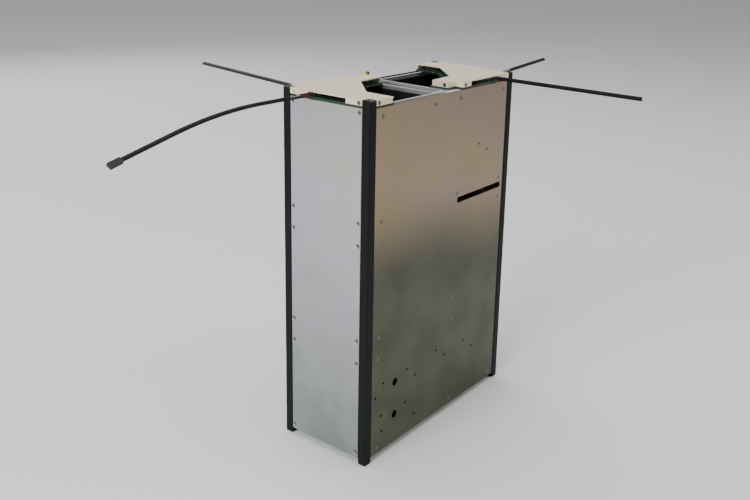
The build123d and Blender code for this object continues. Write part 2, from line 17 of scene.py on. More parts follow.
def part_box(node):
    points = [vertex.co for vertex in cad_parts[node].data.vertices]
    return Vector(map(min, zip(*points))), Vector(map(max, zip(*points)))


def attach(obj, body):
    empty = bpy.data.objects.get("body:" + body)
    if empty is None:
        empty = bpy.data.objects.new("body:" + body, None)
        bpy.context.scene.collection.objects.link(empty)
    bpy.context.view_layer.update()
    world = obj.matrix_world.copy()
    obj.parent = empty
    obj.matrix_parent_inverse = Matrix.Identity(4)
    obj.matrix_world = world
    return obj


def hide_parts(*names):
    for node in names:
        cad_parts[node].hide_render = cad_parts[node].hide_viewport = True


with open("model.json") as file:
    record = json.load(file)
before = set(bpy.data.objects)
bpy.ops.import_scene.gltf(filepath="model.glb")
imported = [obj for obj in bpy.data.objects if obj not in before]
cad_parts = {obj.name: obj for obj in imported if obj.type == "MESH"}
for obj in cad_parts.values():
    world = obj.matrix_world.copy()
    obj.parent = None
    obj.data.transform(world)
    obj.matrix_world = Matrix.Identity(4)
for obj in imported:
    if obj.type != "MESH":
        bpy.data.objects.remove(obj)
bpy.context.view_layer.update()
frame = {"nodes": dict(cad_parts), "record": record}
nodes = frame["nodes"]
mm = 0.001

# %% [markdown]
# ## Camera
# One narrow and one wide face are seen from a little above. A camera is placed by the direction
# it looks from, its distance and a small roll, and its shift frames the object without turning
# the camera away, which would tilt the upright rails.

# %% Place the camera
view_azimuth = -54.45      # degrees, 0 looks along +Y
view_elevation = 14.91
view_roll = 1.98
camera_place = Vector((-0.6609, -0.5056, 0.4783))

azimuth = math.radians(view_azimuth)
elevation = math.radians(view_elevation)
roll = math.radians(view_roll)
back = Vector((math.sin(azimuth) * math.cos(elevation), -math.cos(azimuth) * math.cos(elevation),
               math.sin(elevation)))
level_right = Vector((math.cos(azimuth), math.sin(azimuth), 0))
level_up = back.cross(level_right)
right = math.cos(roll) * level_right + math.sin(roll) * level_up
up = math.cos(roll) * level_up - math.sin(roll) * level_right

camera = bpy.data.objects.new("camera", bpy.data.cameras.new("camera"))
bpy.context.scene.collection.objects.link(camera)
turn = Matrix((right, up, back)).transposed().to_4x4()
camera.matrix_world = Matrix.Translation(camera_place) @ turn
camera.data.lens = 42.43
camera.data.shift_x = -0.0760
camera.data.shift_y = -0.1141
camera.data.clip_start = 0.01
bpy.context.scene.camera = camera
print("camera", tuple(round(v, 3) for v in camera.location), "lens", camera.data.lens)

# %% [markdown]
# ## Writing node trees as expressions
# A material or a Geometry Nodes tree is easier to read as sums than as a list of links. `Value`
# wraps one socket, and Python's operators on it add Math nodes. `Tree` owns the nodes, and its
# one method `node` adds any other kind: settings first, then the sockets' values or links.

# %% Values and trees
class Value:
    """One output socket, on which + - * and abs add Math nodes."""

    def __init__(self, tree, socket):
        self.tree = tree
        self.socket = socket

    def math(self, operation, first, second):
        return self.tree.node("ShaderNodeMath", {"operation": operation}, {0: first, 1: second})

    def __add__(self, other):
        return self.math("ADD", self, other)

    def __radd__(self, other):
        return self.math("ADD", other, self)

    def __sub__(self, other):
        return self.math("SUBTRACT", self, other)

    def __rsub__(self, other):
        return self.math("SUBTRACT", other, self)

    def __mul__(self, other):
        return self.math("MULTIPLY", self, other)

    def __rmul__(self, other):
        return self.math("MULTIPLY", other, self)

    def __abs__(self):
        return self.math("ABSOLUTE", self, 0)

    def above(self, edge):
        return self.math("GREATER_THAN", self, edge)

    def ramp(self, low, high):
        """0 below low, 1 above high, and smooth between them."""
        settings = {"interpolation_type": "SMOOTHSTEP"}
        inputs = {"Value": self, "From Min": low, "From Max": high}
        return self.tree.node("ShaderNodeMapRange", settings, inputs)


class Tree:
    """A node tree and the one method that adds nodes to it."""

    def __init__(self, tree):
        self.tree = tree

    def plug(self, value, socket):
        if isinstance(value, Value):
            self.tree.links.new(value.socket, socket)
        else:
            socket.default_value = value

    def node(self, kind, settings=None, inputs=None, out=0):
        node = self.tree.nodes.new(kind)
        for name, value in (settings or {}).items():
            setattr(node, name, value)
        for name, value in (inputs or {}).items():
            self.plug(value, node.inputs[name])
        return Value(self, node.outputs[out])


print("helpers", Value.__name__, Tree.__name__)

# %% [markdown]
# ## A finish
# Every material here is one Principled shader and a few patterns that live in object space, in
# metres. `Finish` adds the patterns that metal, plastic and boards share: soft blotches, fine
# grain drawn out in one direction, colour mixing and relief. A value that is the same all over
# goes straight onto the shader's own socket.

# %% Finish
class Finish(Tree):
    """A material with one Principled shader and helpers for its patterns."""

    def __init__(self, name, same=None):
        self.material = bpy.data.materials.new(name)
        self.material.use_nodes = True
        super().__init__(self.material.node_tree)
        self.shader = self.tree.nodes["Principled BSDF"]
        for label, value in (same or {}).items():
            self.set(label, value)
        self.place = self.node("ShaderNodeTexCoord", out=3)

    def set(self, label, value):
        self.plug(value, self.shader.inputs[label])

    def stretched(self, x, y, z):
        """Object coordinates, squeezed so that a pattern is drawn out along the small factors."""
        return self.node("ShaderNodeMapping", None, {"Vector": self.place, "Scale": (x, y, z)})

    def noise(self, scale, detail=3.0, where=None):
        return self.node("ShaderNodeTexNoise", None,
                         {"Vector": where or self.place, "Scale": scale, "Detail": detail})

    def cells(self, scale, where=None):
        return self.node("ShaderNodeTexVoronoi", {"feature": "F1"},
                         {"Vector": where or self.place, "Scale": scale})

    def mix(self, factor, first, second):
        inputs = {0: factor, 6: first, 7: second}
        return self.node("ShaderNodeMix", {"data_type": "RGBA"}, inputs, out=2)

    def relief(self, height, strength, depth, under=None):
        inputs = {"Height": height, "Strength": strength, "Distance": depth}
        if under:
            inputs["Normal"] = under
        return self.node("ShaderNodeBump", None, inputs)

    def axis(self, index):
        """One object coordinate, in metres."""
        return self.node("ShaderNodeSeparateXYZ", None, {"Vector": self.place}, out=index)


def grey(level, warm=0.0):
    """A near-grey colour, a little warmer for a positive second value."""
    return (level * (1 + warm), level, level * (1 - warm), 1.0)


print("grey", grey(0.5, 0.02))

# %% [markdown]
# ## Satin panel metal
# The side panels are thin rolled aluminium sheet with a clear conversion coating. Rolled sheet has
# a very fine upright grain, soft blotches where it was wiped and handled, and a few hairline
# scratches. A painted reflection is put into the colour, light and warm at the top of a panel,
# and a painted shade, darker and greener, towards the bottom, with a ragged border between the two.
# The same recipe serves the wide and the narrow panels with other colours, heights and softness.

# %% Panel finish
def panel_finish(name, upper, painted_shade_colour, painted_shade_border, softness, slope=0.0, across=None, inner=1.0):
    """Satin sheet. Its painted reflection gives way to painted shade at a height, which may slope along X,
    and its inner face is black.
    """
    metal = Finish(name, {"Anisotropic": 0.25, "Specular IOR Level": 0.1})
    blotch = metal.noise(22.0, 4.0)
    broad = metal.noise(7.0, 2.0)
    grain = metal.noise(60.0, 6.0, metal.stretched(60.0, 60.0, 1.6))
    hair = metal.noise(40.0, 2.0, metal.stretched(26.0, 26.0, 1.1)).ramp(0.66, 0.72)
    speck = metal.cells(520.0).ramp(0.10, 0.02)
    # The border height between the painted reflection above and the painted shade below, sloped along X and
    # made ragged by noise.
    height = metal.axis(2) + slope * metal.axis(0) + 0.03 * (broad - 0.5) + 0.015 * (blotch - 0.5)
    painted_reflection_split = height.ramp(painted_shade_border - softness, painted_shade_border + softness)
    bloom = metal.noise(13.0, 3.0)
    plum = (upper[0] * 1.02, upper[1] * 0.93, upper[2] * 1.18, 1.0)
    straw = (upper[0] * 1.03, upper[1] * 1.02, upper[2] * 0.80, 1.0)
    colour = metal.mix(bloom.ramp(0.40, 0.62), plum, straw)
    colour = metal.mix(0.45, colour, upper + (1.0,))
    colour = metal.mix(blotch.ramp(0.45, 0.8) * 0.35, colour, tuple(0.84 * c for c in upper) + (1.0,))
    colour = metal.mix(hair * 0.12, colour, tuple(1.35 * c for c in upper) + (1.0,))
    # The lower tone is painted shade, darker and greener, broken by blotches; above the border the painted
    # reflection shows.
    deep = metal.mix(blotch.ramp(0.35, 0.7), painted_shade_colour + (1.0,), tuple(0.80 * c for c in painted_shade_colour) + (1.0,))
    colour = metal.mix(painted_reflection_split, deep, colour)
    colour = metal.mix(speck * blotch.ramp(0.45, 0.7) * 0.5, colour, tuple(0.5 * c for c in upper) + (1.0,))
    if across is not None:
        lining = 1 - abs(metal.axis(across)).above(inner)
        colour = metal.mix(lining, colour, grey(0.010))
        metal.set("Metallic", 1 - lining)
    else:
        metal.set("Metallic", 1.0)
    metal.set("Base Color", colour)
    metal.set("Roughness", 0.31 + 0.10 * blotch + 0.08 * broad + 0.05 * grain - 0.10 * hair)
    fine = metal.relief(grain, 0.25, 0.00004)
    metal.set("Normal", metal.relief(blotch, 0.12, 0.0006, fine))
    return metal.material


front_low, front_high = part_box("panel_front")
side_low, side_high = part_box("panel_left")
skin = 0.04 * mm           # lining starts this far inside a panel's inner face
# The colours given are the upper tone, a painted reflection, and the lower tone, a painted shade, split at
# the given height.
wide_metal = panel_finish("satin_sheet_wide", (0.375, 0.300, 0.216), (0.108, 0.110, 0.080), 0.208, 0.048,
                          0.165, 1, abs(front_high.y) + skin)
narrow_metal = panel_finish("satin_sheet_narrow", (0.57, 0.555, 0.585), (0.365, 0.395, 0.388), 0.15, 0.13,
                            0.0, 0, abs(side_high.x) + skin)
plain_metal = panel_finish("satin_sheet_base", (0.42, 0.42, 0.41), (0.40, 0.40, 0.39), 0.1, 0.1)
print("materials", wide_metal.name, narrow_metal.name, plain_metal.name)

# %% [markdown]
# ## Black anodised rails
# The rails are hard anodised so that they slide in a dispenser without galling. The coating is
# nearly black with a faint blue-grey sheen, fine lines along the drawn bar, and it is rubbed
# thin where the bar ends, so a little metal shows there. The wear mask comes from the height
# above the base, broken up by noise.

# %% Rail finish
rail_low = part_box("rail_front_left")[0].z
rail_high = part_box("rail_front_left")[1].z


def rail_finish():
    rail = Finish("black_anodised", {"Specular IOR Level": 0.14})
    drawn = rail.noise(90.0, 5.0, rail.stretched(30.0, 30.0, 0.6))
    dust = rail.noise(55.0, 5.0)
    height = rail.axis(2)
    near_end = height.ramp(rail_high - 0.0014, rail_high + 0.0002) + height.ramp(rail_low + 0.0014, rail_low)
    worn = near_end * rail.noise(420.0, 4.0).ramp(0.42, 0.66)
    colour = rail.mix(drawn, grey(0.004, -0.06), grey(0.009, -0.12))
    colour = rail.mix(dust.ramp(0.55, 0.8) * 0.25, colour, grey(0.026, 0.0))
    rail.set("Base Color", rail.mix(worn * 0.7, colour, (0.40, 0.37, 0.34, 1)))
    rail.set("Metallic", 0.9 * worn)
    rail.set("Roughness", 0.40 + 0.14 * drawn + 0.12 * dust - 0.08 * worn)
    rail.set("Normal", rail.relief(drawn, 0.2, 0.00006))
    return rail.material


rail_black = rail_finish()
print("rails from", round(rail_low, 4), "to", round(rail_high, 4))

# %% [markdown]
# ## Cover metal, machined metal and steel
# The module covers have a fine blasted finish that scatters light, close to a warm cream. The
# ring frames were milled, which leaves fine arcs and bright faces. The top ring is bright above
# a height and black below it: the black is painted shade under its top faces. Screws are dark
# steel.

# %% Metal finishes
def cover_finish():
    cover = Finish("blasted_cover", {"Metallic": 0.55})
    blast = cover.noise(1500.0, 3.0)
    cloud = cover.noise(30.0, 3.0)
    colour = cover.mix(cloud.ramp(0.35, 0.7), (0.93, 0.83, 0.64, 1), (0.87, 0.77, 0.59, 1))
    cover.set("Base Color", cover.mix(blast * 0.2, colour, (0.66, 0.60, 0.48, 1)))
    cover.set("Roughness", 0.46 + 0.10 * cloud + 0.08 * blast)
    cover.set("Normal", cover.relief(blast, 0.18, 0.00004))
    return cover.material


def milled_finish(name, level, shade_start=None):
    """Milled faces with fine arcs; below the given height, if there is one, they are black, a painted shade.
    """
    milled = Finish(name, {"Specular IOR Level": 0.2})
    swirl = milled.node("ShaderNodeTexWave", {"wave_type": "RINGS", "rings_direction": "Z"},
                        {"Vector": milled.place, "Scale": 260.0, "Distortion": 3.0, "Detail": 2.0}, out=1)
    stain = milled.noise(60.0, 4.0)
    colour = milled.mix(stain.ramp(0.4, 0.75), grey(level), grey(level * 0.84, 0.03))
    if shade_start is None:
        milled.set("Metallic", 1.0)
    else:
        # Below this height the faces are painted black as shade; above it they keep the milled colour.
        above_painted_shade = milled.axis(2).ramp(shade_start - 0.00005, shade_start + 0.00005)
        colour = milled.mix(above_painted_shade, grey(0.012), colour)
        milled.set("Metallic", above_painted_shade)
    milled.set("Base Color", colour)
    milled.set("Roughness", 0.30 + 0.14 * stain + 0.06 * swirl)
    milled.set("Normal", milled.relief(swirl, 0.15, 0.00003))
    return milled.material


def steel_finish(name, level, warm, rough):
    steel = Finish(name, {"Metallic": 1.0})
    smudge = steel.noise(700.0, 4.0)
    steel.set("Base Color", steel.mix(smudge.ramp(0.4, 0.7), grey(level, warm), grey(level * 0.6, warm * 2)))
    steel.set("Roughness", rough + 0.15 * smudge)
    steel.set("Normal", steel.relief(steel.noise(2500.0), 0.15, 0.00002))
    return steel.material


cover_metal = cover_finish()
frame_metal = milled_finish("milled_aluminium", 0.80)
shade_free_depth = 3.6 * mm          # depth of the bright part of the top ring
# The top ring's lower part is black: painted shade under its bright top faces.
top_metal = milled_finish("skimmed_ring", 0.95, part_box("frame_top")[1].z - shade_free_depth)
tray_metal = milled_finish("milled_tray", 0.38)
screw_steel = steel_finish("dark_screw_steel", 0.20, 0.12, 0.30)
pin_steel = steel_finish("ground_pin_steel", 0.55, 0.0, 0.22)
wire_steel = steel_finish("spring_wire", 0.40, 0.03, 0.28)


def yellow_finish(name, colour, dark, rough):
    """Turned brass or gold plate: bright lines from the lathe and brown stains between them."""
    yellow = Finish(name, {"Metallic": 1.0})
    lines = yellow.noise(60.0, 4.0, yellow.stretched(1.0, 1.0, 60.0))
    stain = yellow.noise(500.0, 4.0)
    tone = yellow.mix(stain.ramp(0.4, 0.75), colour + (1.0,), dark + (1.0,))
    yellow.set("Base Color", yellow.mix(lines.ramp(0.4, 0.7) * 0.4, tone, dark + (1.0,)))
    yellow.set("Roughness", rough + 0.2 * stain)
    yellow.set("Normal", yellow.relief(lines, 0.3, 0.00005))
    return yellow.material


brass = yellow_finish("turned_brass", (0.52, 0.34, 0.11), (0.20, 0.12, 0.04), 0.20)
gold = yellow_finish("plated_contact", (0.80, 0.56, 0.18), (0.45, 0.28, 0.08), 0.16)
print("metals", cover_metal.name, frame_metal.name, screw_steel.name)

# %% [markdown]
# ## Boards, plastics and coated strip
# A circuit board is glass fibre under a green mask, with copper tracks that show as slightly
# paler lines and small tinned dots. Tracks are made from a brick pattern, because bricks give
# straight lines that end and turn at right angles. The blades are spring steel under a black
# coating, and the sleeves are shrunk rubber.

# %% Board and plastic finishes
def board_finish():
    board = Finish("green_board", {"Coat Weight": 0.15, "Coat Roughness": 0.2, "Specular IOR Level": 0.35})
    flat = board.stretched(1.0, 1.0, 0.0)
    brick = board.node("ShaderNodeTexBrick", {"offset": 0.5, "squash": 1.0},
                       {"Vector": flat, "Scale": 1.0, "Mortar Size": 0.00016, "Brick Width": 0.0062,
                        "Row Height": 0.0017, "Mortar Smooth": 0.0}, out=1)
    tracks = brick * board.noise(240.0, 0.0, flat).ramp(0.48, 0.5)
    dots = board.cells(420.0, flat).ramp(0.16, 0.12) * board.noise(90.0, 0.0, flat).ramp(0.5, 0.52)
    colour = board.mix(board.noise(500.0), (0.008, 0.030, 0.017, 1), (0.013, 0.042, 0.024, 1))
    colour = board.mix(tracks * 0.8, colour, (0.035, 0.12, 0.055, 1))
    board.set("Base Color", board.mix(dots, colour, (0.62, 0.60, 0.52, 1)))
    board.set("Metallic", 0.8 * dots)
    board.set("Roughness", 0.34 + 0.1 * board.noise(500.0) - 0.08 * tracks)
    board.set("Normal", board.relief(tracks + dots, 0.3, 0.00004))
    return board.material


def moulded_finish(name, colour, rough, shine=0.35):
    """Moulded or coated surfaces: a fine texture and slightly uneven gloss."""
    moulded = Finish(name, {"Specular IOR Level": shine})
    fine = moulded.noise(1800.0, 2.0)
    cloud = moulded.noise(120.0, 3.0)
    pale = tuple(min(1.0, c * 1.35 + 0.004) for c in colour) + (1.0,)
    moulded.set("Base Color", moulded.mix(cloud.ramp(0.4, 0.8), tuple(colour) + (1.0,), pale))
    moulded.set("Roughness", rough + 0.1 * cloud + 0.06 * fine)
    moulded.set("Normal", moulded.relief(fine, 0.2, 0.00004))
    return moulded.material


board_green = board_finish()
connector_black = moulded_finish("connector_black", (0.018, 0.018, 0.019), 0.42)
holder_black = moulded_finish("holder_black", (0.022, 0.022, 0.024), 0.38)
blade_black = moulded_finish("coated_strip", (0.005, 0.005, 0.007), 0.40, 0.16)
strip_black = moulded_finish("edge_strip_black", (0.005, 0.005, 0.006), 0.55, 0.12)
tip_grey = moulded_finish("cap_grey", (0.022, 0.022, 0.023), 0.55, 0.25)
sleeve_red = moulded_finish("sleeve_red", (0.042, 0.007, 0.006), 0.40, 0.25)
battery_blue = moulded_finish("battery_wrap", (0.020, 0.040, 0.090), 0.30)
radio_dark = moulded_finish("radio_case", (0.040, 0.041, 0.043), 0.40)
print("plastics", [m.name for m in (connector_black, blade_black, sleeve_red)])

# %% [markdown]
# ## Give the CAD parts their finishes
# A CAD part whose shape is already right stays and only gets a material. The rule is written
# once, from the start of a part's name to its finish, so that no part is left bare.

# %% Assign finishes
finish_of = {
    "rail_": rail_black, "panel_front": wide_metal, "panel_back": wide_metal, "panel_": narrow_metal,
    "base_plate": plain_metal, "frame_top": top_metal, "frame_": frame_metal,
    "edge_strips": strip_black, "contact_pin": gold,
    "cover_screws": screw_steel, "cover_spacers": frame_metal, "cover_": cover_metal,
    "screws_": screw_steel, "board_screws": screw_steel, "antenna_board": board_green,
    "board_connectors": connector_black, "blade_": blade_black, "root_holder": holder_black,
    "root_sleeve": sleeve_red, "feed_strip": board_green, "tip_cap": tip_grey,
    "hinge_pins": pin_steel, "torsion_springs": wire_steel, "brass_post": brass,
    "stack_base_plate": frame_metal, "stack_boards": board_green, "stack_spacers": frame_metal,
    "stack_nuts": pin_steel, "stack_rods": pin_steel, "battery_tray": tray_metal,
    "battery_pack": battery_blue, "radio_plate": frame_metal, "radio_unit": radio_dark,
}
for node_name, node in nodes.items():
    start = next(key for key in finish_of if node_name.startswith(key))
    node.data.materials.clear()
    node.data.materials.append(finish_of[start])
print("finished", len(nodes), "CAD parts")

# %% [markdown]
# ## Pieces from Geometry Nodes
# Coils, cells and chips repeat one small shape, so each is a Geometry Nodes tree: a shape, the
# points it stands on, and instances joined into one mesh. `Pattern` makes the tree with named
# inputs, sets them on the modifier by the sockets' identifiers, and bakes the result into a
# plain mesh in which every face lies where the frame says.

# %% Pattern trees
class Pattern(Tree):
    """A Geometry Nodes tree with named number inputs, ended by Realize Instances and Set Material."""

    def __init__(self, name, sizes):
        group = bpy.data.node_groups.new(name, "GeometryNodeTree")
        super().__init__(group)
        self.name = name
        self.sizes = sizes
        group.interface.new_socket("Geometry", in_out="INPUT", socket_type="NodeSocketGeometry")
        for label in sizes:
            kind = "NodeSocketInt" if isinstance(sizes[label], int) else "NodeSocketFloat"
            group.interface.new_socket(label, in_out="INPUT", socket_type=kind)
        group.interface.new_socket("Geometry", in_out="OUTPUT", socket_type="NodeSocketGeometry")
        self.start = group.nodes.new("NodeGroupInput")

    def input(self, label):
        return Value(self, self.start.outputs[label])

    def points(self):
        return Value(self, self.start.outputs["Geometry"])

    def join(self, *parts):
        """Several shapes as one."""
        joined = self.node("GeometryNodeJoinGeometry")
        for part in parts:
            self.tree.links.new(part.socket, joined.socket.node.inputs["Geometry"])
        return joined

    def marked(self, shape, mark):
        """Faces that get the second material carry a named attribute."""
        settings = {"data_type": "BOOLEAN", "domain": "FACE"}
        inputs = {"Geometry": shape, "Name": mark, "Value": True}
        return self.node("GeometryNodeStoreNamedAttribute", settings, inputs)

    def bake(self, places, material, body, mark=None, marked_material=None):
        """Run the tree on a mesh of bare points and keep the result as a plain piece."""
        real = self.node("GeometryNodeRealizeInstances", None, {"Geometry": self.shape})
        painted = self.node("GeometryNodeSetMaterial", None, {"Geometry": real, "Material": material})
        if mark:
            chosen = self.node("GeometryNodeInputNamedAttribute", {"data_type": "BOOLEAN"}, {"Name": mark})
            painted = self.node("GeometryNodeSetMaterial", None, {
                "Geometry": painted, "Selection": chosen, "Material": marked_material})
        end = self.tree.nodes.new("NodeGroupOutput")
        self.plug(painted, end.inputs["Geometry"])
        mesh = bpy.data.meshes.new(self.name + "_points")
        mesh.from_pydata([tuple(place) for place in places], [], [])
        source = bpy.data.objects.new(self.name + "_source", mesh)
        bpy.context.scene.collection.objects.link(source)
        modifier = source.modifiers.new("pattern", "NODES")
        modifier.node_group = self.tree
        for item in self.tree.interface.items_tree:
            if item.in_out == "INPUT" and item.name in self.sizes:
                modifier[item.identifier] = self.sizes[item.name]
        graph = bpy.context.evaluated_depsgraph_get()
        plain = bpy.data.meshes.new_from_object(source.evaluated_get(graph))
        bpy.data.objects.remove(source)
        piece = bpy.data.objects.new(self.name, plain)
        bpy.context.scene.collection.objects.link(piece)
        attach(piece, body)
        print(self.name, "faces", len(plain.polygons))
        return piece


print("pattern class", Pattern.__name__)

# %% [markdown]
# ## Torsion springs
# Each blade root has a small spring wound round its hinge pin. A spiral curve with a round
# profile gives the wire, and its two straight legs, one towards the blade and one towards the
# board, are short lines with the same profile. The hinge places come from the frame's joints.

# %% Wind the springs
hinge_places = [Vector(joint["pos_m"]) for joint in frame["record"]["behaviour"]["joints"]]
spring_low, spring_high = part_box("torsion_springs")
wire_radius = 0.18 * mm
coil_radius = 1.12 * mm
leg_length = 1.7 * mm
wire_clear = 1.2 * wire_radius      # coils stay this far inside the CAD springs' box
coils = Pattern("spring_coils", {"Wire radius": wire_radius, "Coil radius": coil_radius, "Turns": 3.0,
                                 "Height": spring_high.z - spring_low.z - 2 * wire_clear})
spiral = coils.node("GeometryNodeCurveSpiral", None, {
    "Resolution": 20, "Rotations": coils.input("Turns"), "Start Radius": coils.input("Coil radius"),
    "End Radius": coils.input("Coil radius"), "Height": coils.input("Height")})
leg = coils.node("GeometryNodeCurvePrimitiveLine", None, {
    "Start": (coil_radius, 0, 0), "End": (coil_radius, leg_length, 0)})
path = coils.join(leg, spiral)
ring = coils.node("GeometryNodeCurvePrimitiveCircle", None, {
    "Resolution": 8, "Radius": coils.input("Wire radius")})
wire = coils.node("GeometryNodeCurveToMesh", None, {"Curve": path, "Profile Curve": ring, "Fill Caps": True})
coils.shape = coils.node("GeometryNodeInstanceOnPoints", None, {"Points": coils.points(), "Instance": wire})
coil_places = [(place.x, place.y, spring_low.z + wire_clear) for place in hinge_places]
springs = coils.bake(coil_places, wire_steel, "satellite")
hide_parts("torsion_springs")

# %% [markdown]
# ## Reading the separate solids of a node
# Several CAD nodes hold many like solids, such as the plug housings on a board. A detailed piece
# for each needs its box. A CAD mesh is loose triangles, so a copy is merged first and then split
# into connected islands, and the boxes of the islands are the places to build on.

# %% Boxes of the solids
def solid_boxes(node_name):
    """(low, high) corners of every separate solid of a CAD node, sorted by place."""
    shape = bmesh.new()
    shape.from_mesh(nodes[node_name].data)
    bmesh.ops.remove_doubles(shape, verts=shape.verts, dist=1e-6)
    unseen = set(shape.verts)
    boxes = []
    while unseen:
        front = [unseen.pop()]
        island = list(front)
        while front:
            vert = front.pop()
            for edge in vert.link_edges:
                other = edge.other_vert(vert)
                if other in unseen:
                    unseen.remove(other)
                    front.append(other)
                    island.append(other)
        low = Vector(min(v.co[i] for v in island) for i in range(3))
        high = Vector(max(v.co[i] for v in island) for i in range(3))
        boxes.append((low, high))
    shape.free()
    return sorted(boxes, key=lambda pair: tuple(round(v, 5) for v in pair[0]))


def keep(shape, name, materials, body):
    """Turn a finished bmesh into a piece that rides on a body."""
    mesh = bpy.data.meshes.new(name)
    bmesh.ops.recalc_face_normals(shape, faces=shape.faces)
    shape.to_mesh(mesh)
    shape.free()
    for material in materials:
        mesh.materials.append(material)
    piece = bpy.data.objects.new(name, mesh)
    bpy.context.scene.collection.objects.link(piece)
    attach(piece, body)
    return piece


print("plug boxes", len(solid_boxes("board_connectors_right")))

# %% [markdown]
# ## Plug housings
# The blocks between board and cover are moulded plug housings. Each one is a box with softened
# edges and a well in its top, in which two rows of contacts stand. The well is an inset of the
# top face pushed down, which keeps the housing one closed shell.

# %% Mould the housings
def add_block(shape, low, high, softness=0.0, slot_index=0):
    """A box between two corners, with its edges softened."""
    made = bmesh.ops.create_cube(shape, size=1.0)
    for vert in made["verts"]:
        vert.co = Vector(low[i] + (vert.co[i] + 0.5) * (high[i] - low[i]) for i in range(3))
    faces = list(dict.fromkeys(face for vert in made["verts"] for face in vert.link_faces))
    if softness:
        edges = list(dict.fromkeys(edge for vert in made["verts"] for edge in vert.link_edges))
        done = bmesh.ops.bevel(shape, geom=edges, offset=softness, segments=2, affect="EDGES", profile=0.5)
        faces = [face for face in faces if face.is_valid] + done["faces"]
    for face in faces:
        face.material_index = slot_index
    return faces


wall_share = 0.16           # of a housing's narrow side
edge_softness = 0.15 * mm
well_share = 0.45           # depth of the well, of the height
contact_pitch = 1.25 * mm
contact_half = 0.22 * mm
contact_sink = 0.1 * mm     # contacts start below the floor of the well
contact_top = 0.12          # and end this share of the height below the top


def housing(shape, low, high):
    """One plug housing with a well and two rows of contacts."""
    size = high - low
    wall = wall_share * min(size.x, size.y)
    faces = add_block(shape, low, high, edge_softness)
    top = max(faces, key=lambda face: face.calc_center_median().z + face.calc_area())
    bmesh.ops.inset_region(shape, faces=[top], thickness=wall, use_even_offset=True)
    depth = well_share * size.z
    bmesh.ops.translate(shape, verts=list(top.verts), vec=(0, 0, -depth))
    along = 0 if size.x > size.y else 1
    count = max(2, int((size[along] - 2.6 * wall) / contact_pitch))
    for index in range(count):
        for side in (-1, 1):
            place = (low + high) / 2
            place[along] += (index - (count - 1) / 2) * contact_pitch
            place[1 - along] += side * wall_share * size[1 - along]
            base = Vector((place.x - contact_half, place.y - contact_half, high.z - depth - contact_sink))
            tip = Vector((place.x + contact_half, place.y + contact_half, high.z - contact_top * size.z))
            add_block(shape, base, tip, 0.0, 1)


for word in ("left", "right"):
    shape = bmesh.new()
    node_name = "board_connectors_" + word
    for low, high in solid_boxes(node_name):
        housing(shape, low, high)
    plugs = keep(shape, "plug_housings_" + word, [connector_black, gold], "satellite")
    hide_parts(node_name)
    print(plugs.name, "faces", len(plugs.data.polygons))

# %% [markdown]
# ## Solder joints on the feed strips
# The green strip at the root of a long blade is soldered down in a few places. Each joint is a
# low dome of tin with an uneven foot, and the four on a strip differ a little in size. A strip
# lies tilted, so the joints stand on its upper face, whose place and tilt come from its mesh.

# %% Solder the strips
solder_draw = random.Random(5)
dome_radius = 0.62 * mm
dome_spread = 0.2 * mm


def solder_dome(shape, place, out, radius):
    """A flattened dome that stands on a face, closed underneath."""
    frame_turn = out.to_track_quat("Z", "X").to_matrix().to_4x4()
    made = bmesh.ops.create_uvsphere(shape, u_segments=14, v_segments=8, radius=radius)
    for vert in made["verts"]:
        swell = 1 + 0.14 * math.sin(3 * math.atan2(vert.co.y, vert.co.x) + radius * 9000)
        vert.co = Vector((vert.co.x * swell, vert.co.y * swell, 0.42 * max(vert.co.z, -0.25 * radius)))
        vert.co = place + frame_turn @ vert.co


for word in ("left", "right"):
    mesh = nodes["feed_strip_" + word].data
    upper = [poly for poly in mesh.polygons if poly.normal.z > 0.6]
    area = sum(poly.area for poly in upper)
    out = sum((poly.normal * poly.area for poly in upper), Vector()) / area
    out.normalize()
    centre = sum((poly.center * poly.area for poly in upper), Vector()) / area
    low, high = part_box("feed_strip_" + word)
    ends = []
    for edge_x in (low.x, high.x):
        close = [vert.co for vert in mesh.vertices if abs(vert.co.x - edge_x) < 0.001]
        ends.append(sum(close, Vector()) / len(close))
    along = (ends[1] - ends[0]).normalized()
    reach_along = 0.36 * (high.x - low.x)
    shape = bmesh.new()
    for share in (-1, -0.35, 0.4, 1):
        radius = dome_radius + dome_spread * solder_draw.random()
        solder_dome(shape, centre + along * share * reach_along, out, radius)
    joints = keep(shape, "solder_joints_" + word, [pin_steel], word + "_blade")
    print(joints.name, "faces", len(joints.data.polygons), "tilt", [round(v, 2) for v in out])

# %% [markdown]
# ## Battery cells
# The battery pack is six round cells in blue film, held by the tray. One cell is a wrapped can,
# a narrower crimped end and a small button, made once on its side and set on a point for each
# cell. Film and bare ends have their own materials.

# %% Lay the cells
pack_low, pack_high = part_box("battery_pack")
pack_size = pack_high - pack_low
rows_across = 3
layers = 2
cell_gap = 0.15 * mm
cell_end_gap = 6 * mm
cell_radius = min(pack_size.y / (2 * rows_across), pack_size.z / (2 * layers)) - cell_gap
cell_length = pack_size.x - cell_end_gap
cells = Pattern("battery_cells", {"Radius": cell_radius, "Length": cell_length, "Crimp": 1.6 * mm})
can = cells.node("GeometryNodeMeshCylinder", None, {
    "Vertices": 48, "Radius": cells.input("Radius"),
    "Depth": cells.input("Length") - 4 * cells.input("Crimp")})
crimp = cells.node("GeometryNodeMeshCylinder", None, {
    "Vertices": 48, "Radius": cells.input("Radius") * 0.86,
    "Depth": cells.input("Length") - 1.5 * cells.input("Crimp")})
button = cells.node("GeometryNodeMeshCylinder", None, {
    "Vertices": 32, "Radius": cells.input("Radius") * 0.34, "Depth": cells.input("Length")})
cell = cells.join(can, cells.marked(cells.join(crimp, button), "bare"))
cells.shape = cells.node("GeometryNodeInstanceOnPoints", None, {
    "Points": cells.points(), "Instance": cell, "Rotation": (0, math.pi / 2, 0)})
cell_places = []
